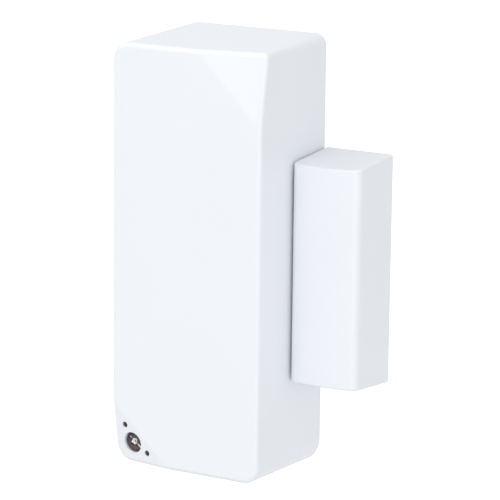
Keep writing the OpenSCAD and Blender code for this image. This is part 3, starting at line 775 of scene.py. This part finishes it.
board_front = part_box("circuit_board")[0].y
solder = metal("solder", (0.74, 0.74, 0.75), (0.6, 0.6, 0.62), 0.28)
chip_middle = middle_of("controller_chip")
chip_size = size_of("controller_chip")
leg_pitch = 0.72 * MM
leg_places = [(i - 2.5) * leg_pitch for i in range(6)]
long_side = 1.6 * MM
short_side = 0.9 * MM
tall_parts = [((3 + 1.9 * i) * MM, -14 * MM) for i in range(4)]
tall_parts += [((2.4 + 1.9 * i) * MM, -26.9 * MM) for i in range(3)]
wide_parts = [(7 * MM, (8 - 3.2 * i) * MM) for i in range(4)]
pads = bmesh.new()
for side in (-1, 1):
    for step in leg_places:
        block_at(pads, chip_middle.x + side * (chip_size.x / 2 + 0.75 * MM), chip_middle.z + step,
                 0.9 * MM, 0.4 * MM, board_front + 0.01 * MM, 0.06 * MM, 0.02 * MM)
    for x, z in tall_parts:
        block_at(pads, x, z + side * 0.85 * MM, 1.1 * MM, 0.7 * MM, board_front + 0.01 * MM, 0.09 * MM,
                 0.04 * MM)
    for x, z in wide_parts:
        block_at(pads, x + side * 0.85 * MM, z, 0.7 * MM, 1.1 * MM, board_front + 0.01 * MM, 0.09 * MM,
                 0.04 * MM)
add_piece(pads, "solder_pads", "sensor_base", solder)


# Board screws: two small zinc-plated pan heads with a cross recess, in the posts of the base plate.
board_screw_low, board_screw_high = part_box("board_screws")
board_head_d = board_screw_high.x - board_screw_low.x
board_head_h = board_front - board_screw_low.y
board_shank = board_screw_high.y - board_screw_low.y
place_x = middle_of("board_screws").x
fixings = bmesh.new()
for place_z in (board_screw_low.z + board_head_d / 2, board_screw_high.z - board_head_d / 2):
    one = bmesh.new()
    turned(one, [
        (0, 0), (0.9 * MM, 0.06 * MM), (1.4 * MM, 0.25 * MM), (1.72 * MM, 0.6 * MM),
        (board_head_d / 2, 0.9 * MM), (board_head_d / 2, board_head_h), (0.8 * MM, board_head_h),
        (0.78 * MM, board_shank - 0.9 * MM), (0.3 * MM, board_shank), (0, board_shank),
    ], (place_x, board_screw_low.y, place_z), (0, 1, 0), 40)
    one = slotted_head(one, place_x, place_z, board_screw_low.y + 0.1 * MM, 1.7 * MM, radians(-30),
                       2 * MM, 0.42 * MM, 0.5 * MM)
    thread(one, place_x, place_z, 0.78 * MM, 1 * MM, board_screw_high.y - 0.8 * MM, 3 * MM, 0.7 * MM, 20)
    add_mesh(fixings, one)
add_form(fixings, "board_screws", "sensor_base", zinc)


# Battery: one lithium cell, a nickel-plated steel can with a printed film shrunk over its side and
# turned in over both ends, and a nub at the top. It lies in the cradle's arms.
cell_low, cell_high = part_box("battery_cell")
cell_x, cell_y, _ = middle_of("battery_cell")
cell_r = (cell_high.x - cell_low.x) / 2
cell_l = cell_high.z - cell_low.z
can_top = cell_l - 1.2 * MM
film_t = 0.08 * MM
nickel = metal("nickel", (0.72, 0.7, 0.66), (0.58, 0.56, 0.52), 0.26)
can = bmesh.new()
can_r = cell_r - film_t
turned(can, [
    (0, 0), (can_r - 1 * MM, 0), (can_r - 0.4 * MM, 0.15 * MM), (can_r, 0.6 * MM),
    (can_r, can_top - 2.2 * MM), (can_r - 0.35 * MM, can_top - 1.8 * MM), (can_r, can_top - 1.4 * MM),
    (can_r, can_top - 0.5 * MM), (can_r - 0.5 * MM, can_top - 0.05 * MM),
    (can_r - 1.6 * MM, can_top - 0.05 * MM), (can_r - 1.9 * MM, can_top - 0.35 * MM),
    (3.5 * MM, can_top - 0.35 * MM), (3.15 * MM, can_top - 0.1 * MM), (3.1 * MM, cell_l - 0.25 * MM),
    (2.85 * MM, cell_l), (0, cell_l),
], (cell_x, cell_y, cell_low.z), (0, 0, 1), 96)
add_piece(can, "battery_can", "sensor_base", nickel, ["battery_cell"])
film = bmesh.new()
turned(film, [
    (cell_r - 1.1 * MM, 0.02 * MM), (cell_r - 0.45 * MM, 0.12 * MM), (cell_r, 0.6 * MM),
    (cell_r, can_top - 2.25 * MM), (cell_r - 0.33 * MM, can_top - 1.8 * MM),
    (cell_r, can_top - 1.35 * MM), (cell_r, can_top - 0.5 * MM), (cell_r - 0.5 * MM, can_top),
    (cell_r - 1.4 * MM, can_top), (cell_r - 1.4 * MM, can_top - film_t),
    (cell_r - 0.55 * MM, can_top - film_t),
    (can_r, can_top - 0.55 * MM), (can_r, 0.65 * MM), (cell_r - 1.1 * MM, 0.1 * MM),
    (cell_r - 1.1 * MM, 0.02 * MM),
], (cell_x, cell_y, cell_low.z), (0, 0, 1), 96)
wrap = Finish("cell_wrap")
pz = wrap.axes()[2]
crinkle = wrap.noise(260, 4, (1, 1, 0.25))
band = (pz > cell_high.z - 7.4 * MM) * (pz < cell_high.z - 5.8 * MM)
blue = wrap.blend(wrap.noise(120), (0.035, 0.07, 0.3), (0.045, 0.085, 0.36))
silver = wrap.blend(pz > cell_high.z - 6.6 * MM, blue, (0.6, 0.61, 0.63))
wrap.set(
    base_color=wrap.blend(band, silver, (0.85, 0.86, 0.88)),
    roughness=0.22 + 0.14 * crinkle,
    coat_weight=0.3,
    normal=wrap.bump(crinkle, 0.05 * MM, 0.4),
)
add_piece(film, "battery_film", "sensor_base", wrap.material)


# Battery cradle: a black tray moulded in polypropylene, with two end walls and two pairs of arms
# that snap round the cell. It is stuck and pinned to the board.
black_plastic = moulded("black_plastic", (0.022, 0.022, 0.024), (0.032, 0.032, 0.034), 0.46, 4000)
softened("battery_cradle", "sensor_base", black_plastic, 0.15 * MM)


# Battery contacts: two nickel-plated spring steel plates against the cradle's end walls, and a
# conical wire spring that presses the cell against the upper one.
softened("positive_contact", "sensor_base", nickel, 0.08 * MM)
softened("negative_plate", "sensor_base", nickel, 0.08 * MM)


def wire(bm, points, thickness, sides=12):
    """A round wire through the points, with closed ends."""
    curve = bpy.data.curves.new("wire", "CURVE")
    curve.dimensions = "3D"
    curve.bevel_depth = thickness / 2
    curve.bevel_resolution = sides // 4 - 1
    curve.use_fill_caps = True
    line = curve.splines.new("POLY")
    line.points.add(len(points) - 1)
    for place, point in zip(line.points, points):
        place.co = (*point, 1)
    body = bpy.data.objects.new("wire", curve)
    scene.collection.objects.link(body)
    bpy.context.view_layer.update()
    mesh = bpy.data.meshes.new_from_object(body.evaluated_get(bpy.context.evaluated_depsgraph_get()))
    bm.from_mesh(mesh)
    bpy.data.objects.remove(body)
    bpy.data.curves.remove(curve)
    bpy.data.meshes.remove(mesh)
    bmesh.ops.remove_doubles(bm, verts=bm.verts, dist=1e-7)
    bmesh.ops.recalc_face_normals(bm, faces=bm.faces)


spring_low, spring_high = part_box("negative_spring")
spring_wire = 0.6 * MM
spring_turns = 3
spring_steps = 40 * spring_turns
spring = bmesh.new()
coil = []
for i in range(spring_steps + 1):
    t = i / spring_steps
    r = 4 * MM + (1.8 * MM - 4 * MM) * t
    a = 2 * pi * spring_turns * t
    lift = spring_low.z + spring_wire / 2 + (spring_high.z - spring_low.z - spring_wire) * t
    coil.append((cell_x + r * cos(a), cell_y + r * sin(a), lift))
wire(spring, coil, spring_wire * 0.98)
add_form(spring, "negative_spring", "sensor_base", nickel, 60)


# Reed switch: a sealed glass tube with two flat nickel-iron blades that overlap in its middle. Its
# leads are bent down to the board's right edge, on the side towards the magnet.
reed_low, reed_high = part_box("reed_glass")
reed_x, reed_y, reed_z = middle_of("reed_glass")
reed_r = (reed_high.x - reed_low.x) / 2
reed_l = reed_high.z - reed_low.z
bore_r = reed_r - 0.4 * MM
lead_r = 0.3 * MM
tube = bmesh.new()
end = [
    (lead_r, 0), (0.62 * MM, 0.04 * MM), (0.9 * MM, 0.2 * MM), (1.1 * MM, 0.5 * MM), (reed_r, 0.95 * MM),
]
bore = [(bore_r, 2.6 * MM), (0.72 * MM, 2.1 * MM), (0.5 * MM, 1.75 * MM), (lead_r, 1.6 * MM)]
outside = end + [(r, reed_l - y) for r, y in reversed(end)]
inside = [(r, reed_l - y) for r, y in reversed(bore)] + bore
turned(tube, outside + inside + end[:1], (reed_x, reed_y, reed_low.z), (0, 0, 1), 48)
glass = Finish("reed_glass_green")
streaks = glass.noise(300, 2, (1, 1, 0.15))
glass.set(
    base_color=glass.blend(streaks, (0.82, 0.95, 0.88), (0.74, 0.9, 0.82)),
    roughness=0.02 + 0.03 * streaks,
    transmission_weight=1,
    ior=1.5,
    normal=glass.bump(streaks, 0.02 * MM, 0.3),
)
add_form(tube, "reed_glass", "sensor_base", glass.material, 60)

lead_low, lead_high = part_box("reed_leads")
leads = bmesh.new()
for side, end_z in ((-1, lead_low.z + lead_r), (1, lead_high.z - lead_r)):
    seal_z = reed_z + side * (reed_l / 2 - 1.7 * MM)
    bend = [(reed_x, board_front + 0.2 * MM, end_z)]
    for i in range(9):
        a = pi / 2 * i / 8
        bend.append((reed_x, reed_y + 0.7 * MM * (1 - sin(a)), end_z - side * 0.7 * MM * (1 - cos(a))))
    wire(leads, bend + [(reed_x, reed_y, seal_z)], 2 * lead_r, 16)
    blade_y = reed_y + side * 0.22 * MM
    blade_z = sorted((reed_z - side * 0.75 * MM, seal_z))
    brick(leads, (reed_x - 0.4 * MM, blade_y - 0.1 * MM, blade_z[0]),
          (reed_x + 0.4 * MM, blade_y + 0.1 * MM, blade_z[1]))
add_form(leads, "reed_leads", "sensor_base", nickel)


# Radio: a small blue board soldered flat on the main one by the pads along its sides, under a
# folded tin shield with a soldered foot.
blue_mask = Finish("blue_mask")
fleck = blue_mask.noise(1400, 3)
blue_mask.set(
    base_color=blue_mask.blend(fleck, (0.012, 0.05, 0.22), (0.02, 0.075, 0.28)),
    roughness=0.3 + 0.1 * fleck,
    normal=blue_mask.bump(fleck, 0.015 * MM, 0.4),
)
softened("radio_board", "sensor_base", blue_mask.material, 0.05 * MM)
radio_middle = middle_of("radio_board")
radio_size = size_of("radio_board")
radio_front = board_front - radio_size.y
radio_pitch = 1.4 * MM
castellations = bmesh.new()
for side in (-1, 1):
    pad_x = radio_middle.x + side * (radio_size.x / 2 - 0.5 * MM)
    for step in range(-3, 4):
        rod(castellations, pad_x, radio_middle.z + step * radio_pitch, 0.8 * MM,
            radio_front - 0.03 * MM, radio_front + 0.3 * MM, 20)
gold = metal("gold", (0.95, 0.72, 0.32), (0.85, 0.62, 0.26), 0.25)
add_piece(castellations, "radio_pads", "sensor_base", gold)

tin = metal("tin", (0.7, 0.7, 0.71), (0.6, 0.6, 0.62), 0.3, 1800, (1, 1, 0.15))
shield = block_of("radio_shield", 0.12 * MM, 0.5 * MM)
add_form(shield, "radio_shield", "sensor_base", tin)


# Antenna: a close helix of enamelled copper wire that stands off the board, with one leg soldered
# down to it.
coil_low, coil_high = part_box("antenna_coil")
coil_wire = 0.8 * MM
coil_r = (coil_high.x - coil_low.x - coil_wire) / 2
coil_x = middle_of("antenna_coil").x
coil_y = coil_low.y + coil_wire / 2 + coil_r
coil_z = coil_low.z + coil_wire / 2
coil_l = coil_high.z - coil_low.z - coil_wire
coil_turns = 11
coil_steps = 36 * coil_turns
coil = [(coil_x + coil_r, board_front + 0.1 * MM, coil_z), (coil_x + coil_r, coil_y + 1.6 * MM, coil_z)]
for i in range(coil_steps + 1):
    a = radians(10 * i)
    along = coil_z + coil_l * i / coil_steps
    coil.append((coil_x + coil_r * cos(a), coil_y - coil_r * sin(a), along))
antenna = bmesh.new()
wire(antenna, coil, coil_wire * 0.98, 16)
copper = metal("enamelled_copper", (0.75, 0.33, 0.12), (0.62, 0.25, 0.09), 0.22, 3000, (1, 1, 1),
               0.006 * MM)
add_form(antenna, "antenna_coil", "sensor_base", copper, 60)


# Controller: a black epoxy package with a moulded dimple at its first pin, on twelve tinned legs
# that are bent out and down to their pads.
epoxy = Finish("epoxy")
matt = epoxy.noise(9000)
first_pin = epoxy.off_axis(chip_middle.x - 1.6 * MM, chip_middle.z + 1.6 * MM) < 0.4 * MM
epoxy.set(
    base_color=epoxy.blend(first_pin, epoxy.blend(matt, (0.016, 0.016, 0.017), (0.026, 0.026, 0.027)),
                           (0.045, 0.045, 0.047)),
    roughness=0.55 - 0.3 * first_pin + 0.15 * matt,
    normal=epoxy.bump(matt - 2 * first_pin, 0.02 * MM, 0.6),
)
package = block_of("controller_chip", 0.1 * MM)
add_form(package, "controller_chip", "sensor_base", epoxy.material)

leg_t = 0.14 * MM
leg_w = 0.3 * MM
leg_reach = (size_of("controller_legs").x - chip_size.x) / 2
legs = bmesh.new()
for side in (-1, 1):
    edge_x = chip_middle.x + side * chip_size.x / 2
    path = [(0, 0.56), (0.22, 0.56), (0.34, 0.46), (0.42, 0.18), (0.52, 0.07), (0.9, 0.07)]
    for step in leg_places:
        low_z = chip_middle.z + step - leg_w / 2
        bent = bmesh.new()
        verts = [bent.verts.new((edge_x + side * x * leg_reach / 0.9, board_front - y * MM, low_z))
                 for x, y in path]
        edges = [bent.edges.new(pair) for pair in zip(verts, verts[1:])]
        grown = bmesh.ops.extrude_edge_only(bent, edges=edges)
        moved = [g for g in grown["geom"] if isinstance(g, bmesh.types.BMVert)]
        bmesh.ops.translate(bent, verts=moved, vec=(0, 0, leg_w))
        bmesh.ops.solidify(bent, geom=bent.faces[:], thickness=leg_t)
        bmesh.ops.translate(bent, verts=bent.verts, vec=(0, -leg_t / 2, 0))
        bmesh.ops.recalc_face_normals(bent, faces=bent.faces)
        add_mesh(legs, bent)
add_form(legs, "controller_legs", "sensor_base", tin)


# Crystal and reservoir capacitor: a drawn steel can with round ends, and an upright aluminium can
# with a crimped neck, a scored top and a dark stripe on its negative side.
crystal = block_of("crystal_can", 0.18 * MM, 0.95 * MM)
add_form(crystal, "crystal_can", "sensor_base", tin)

store_middle = middle_of("storage_capacitor")
store_size = size_of("storage_capacitor")
store_r = store_size.x / 2
store_top = store_middle.y - store_size.y / 2
store = bmesh.new()
turned(store, [
    (0, 0), (store_r - 0.3 * MM, 0), (store_r, 0.3 * MM), (store_r, store_size.y - 1.5 * MM),
    (store_r - 0.3 * MM, store_size.y - 1.2 * MM), (store_r, store_size.y - 0.9 * MM),
    (store_r, store_size.y), (0, store_size.y),
], (store_middle.x, store_top, store_middle.z), (0, 1, 0), 64)
aluminium = Finish("aluminium")
px, py, pz = aluminium.axes()
brushed = aluminium.noise(2200, 3, (1, 0.1, 1))
stripe = (px < store_middle.x - 0.55 * store_r) * (py < store_top + 0.3 * MM)
score_x = (px - store_middle.x).math("ABSOLUTE") < 0.08 * MM
score_z = (pz - store_middle.z).math("ABSOLUTE") < 0.08 * MM
score = score_x.math("MAXIMUM", score_z) * (py < store_top + 0.1 * MM)
bare = aluminium.blend(brushed, (0.78, 0.78, 0.79), (0.66, 0.66, 0.68))
aluminium.set(
    base_color=aluminium.blend(stripe, bare, (0.03, 0.03, 0.035)),
    metallic=1 - 0.8 * stripe,
    roughness=0.26 + 0.16 * brushed,
    normal=aluminium.bump(0.3 * brushed - score, 0.06 * MM, 0.6),
)
add_form(store, "storage_capacitor", "sensor_base", aluminium.material)


# Surface parts: eleven chip resistors and capacitors, ceramic bodies with tinned end caps.
def ceramic(name, first, second):
    """Fired ceramic with a fine speckle."""
    finish = Finish(name)
    speck = finish.noise(7000)
    return finish.set(
        base_color=finish.blend(speck, first, second),
        roughness=0.42 + 0.12 * speck,
        normal=finish.bump(speck, 0.01 * MM, 0.5),
    )


tan_ceramic = ceramic("tan_ceramic", (0.4, 0.27, 0.14), (0.48, 0.34, 0.19))
dark_ceramic = ceramic("dark_ceramic", (0.018, 0.018, 0.02), (0.03, 0.03, 0.032))
part_t = size_of("surface_parts").y
part_body = (long_side - 0.1 * MM, short_side - 0.06 * MM, part_t - 0.03 * MM)
cap_l = 0.32 * MM
tan_bodies = bmesh.new()
dark_bodies = bmesh.new()
end_caps = bmesh.new()
for x, z in tall_parts:
    block_at(tan_bodies, x, z, part_body[1], part_body[0], board_front, part_body[2])
for x, z in wide_parts:
    block_at(dark_bodies, x, z, part_body[0], part_body[1], board_front, part_body[2])
for side in (-1, 1):
    reach = side * (long_side - cap_l) / 2
    for x, z in tall_parts:
        block_at(end_caps, x, z + reach, short_side, cap_l, board_front, part_t, 0.06 * MM)
    for x, z in wide_parts:
        block_at(end_caps, x + reach, z, cap_l, short_side, board_front, part_t, 0.06 * MM)
add_piece(tan_bodies, "capacitor_bodies", "sensor_base", tan_ceramic, ["surface_parts"])
add_piece(dark_bodies, "resistor_bodies", "sensor_base", dark_ceramic)
add_piece(end_caps, "part_end_caps", "sensor_base", solder)


# Status light: a red lens of clear resin on a white ceramic foot.
led_middle = middle_of("status_led")
led_size = size_of("status_led")
foot_h = led_size.y * 0.4
foot = bmesh.new()
block_at(foot, led_middle.x, led_middle.z, led_size.x, led_size.z, board_front, foot_h, 0.03 * MM)
white_ceramic = ceramic("white_ceramic", (0.75, 0.74, 0.7), (0.68, 0.67, 0.63))
add_piece(foot, "led_foot", "sensor_base", white_ceramic)
lens = bmesh.new()
block_at(lens, led_middle.x, led_middle.z, led_size.x * 0.72, led_size.z * 0.94, board_front - foot_h,
         led_size.y - foot_h, 0.12 * MM)
resin = Finish("red_resin")
milk = resin.noise(1500)
resin.set(
    base_color=resin.blend(milk, (0.75, 0.04, 0.03), (0.85, 0.09, 0.06)),
    roughness=0.14 + 0.1 * milk,
    transmission_weight=0.4,
    normal=resin.bump(milk, 0.01 * MM, 0.3),
)
add_piece(lens, "led_lens", "sensor_base", resin.material, ["status_led"])


# Learn switch: a tact switch in a bright steel case with four black rivets at its corners, and a
# yellow button that travels in its well.
softened("learn_switch", "sensor_base", tin, 0.12 * MM)
learn_middle = middle_of("learn_switch")
lid_y = board_front - size_of("learn_switch").y
rivet_step = 1.7 * MM
rivets = bmesh.new()
for side_x in (-1, 1):
    for side_z in (-1, 1):
        rod(rivets, learn_middle.x + side_x * rivet_step, learn_middle.z + side_z * rivet_step,
            0.6 * MM, lid_y - 0.12 * MM, lid_y + 0.1 * MM, 20, 0.8 * MM)
add_piece(rivets, "learn_rivets", "sensor_base", black_plastic)


def button(node, body, material, dome):
    """A round button along Y from a CAD node, with its front edge rounded by dome."""
    low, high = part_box(node)
    centre = (low + high) / 2
    r = (high.x - low.x) / 2
    length = high.y - low.y
    arc = [(r - dome + dome * sin(pi / 2 * i / 6), dome - dome * cos(pi / 2 * i / 6)) for i in range(7)]
    bm = bmesh.new()
    turned(bm, [(0, 0)] + arc + [(r, length), (0, length)], (centre.x, low.y, centre.z), (0, 1, 0), 48)
    add_form(bm, node, body, material)


yellow_plastic = moulded("yellow_plastic", (0.72, 0.4, 0.03), (0.62, 0.33, 0.025), 0.38)
button("learn_button", "learn", yellow_plastic, 0.25 * MM)


# Tamper switch: a black housing with a tall plunger that the post of the cover holds near its end,
# so that it rises when the cover comes off.
softened("tamper_switch", "sensor_base", black_plastic, 0.12 * MM)
plunger_plastic = moulded("plunger_plastic", (0.05, 0.05, 0.055), (0.065, 0.065, 0.07), 0.35)
button("tamper_plunger", "tamper", plunger_plastic, 0.5 * MM)


# Option header: two gilt pins in a black block, bridged by a blue jumper cap.
header_low, header_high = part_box("option_header")
header_x, _, header_z = middle_of("option_header")
pitch = (header_high.x - header_low.x) / 2
header = bmesh.new()
pins = bmesh.new()
for side in (-1, 1):
    pin_x = header_x + side * pitch / 2
    block_at(header, pin_x, header_z, pitch - 0.02 * MM, pitch, board_front, 2.5 * MM, 0.05 * MM,
             0.4 * MM)
    block_at(pins, pin_x, header_z, 0.64 * MM, 0.64 * MM, board_front, board_front - header_low.y,
             0.1 * MM)
add_form(header, "option_header", "sensor_base", black_plastic)
add_piece(pins, "option_pins", "sensor_base", gold)
jumper_plastic = moulded("jumper_plastic", (0.02, 0.04, 0.3), (0.028, 0.05, 0.36), 0.4)
softened("option_jumper", "sensor_base", jumper_plastic, 0.15 * MM)


# Magnet unit's base: a plate with two saddles and two end stops, moulded in the base's plastic and
# screwed to the door by two screws.
softened("magnet_base", "magnet", base_plastic)


# Bar magnet: pressed and sintered ferrite, dark grey and matt, a little chipped along its edges.
ferrite = Finish("ferrite")
grains = ferrite.noise(5000, 4)
stain = ferrite.noise(350, 3)
ferrite.set(
    base_color=ferrite.blend(stain, (0.055, 0.055, 0.058), (0.09, 0.088, 0.088)),
    roughness=0.5 + 0.2 * grains,
    metallic=0.15 + 0.2 * stain,
    normal=ferrite.bump(grains, 0.04 * MM, 0.7),
)
softened("bar_magnet", "magnet", ferrite.material, 0.35 * MM)


# Foam pad: a strip of open-cell foam glued on the magnet, which stops it from rattling.
foam = Finish("foam")
cells = foam.node("ShaderNodeTexVoronoi", {"Vector": foam.place, "Scale": 2400})
foam.set(
    base_color=foam.blend(cells, (0.035, 0.035, 0.037), (0.09, 0.09, 0.093)),
    roughness=0.9 - 0.05 * cells,
    normal=foam.bump(cells, 0.2 * MM, 0.8),
)
softened("magnet_pad", "magnet", foam.material, 0.25 * MM)
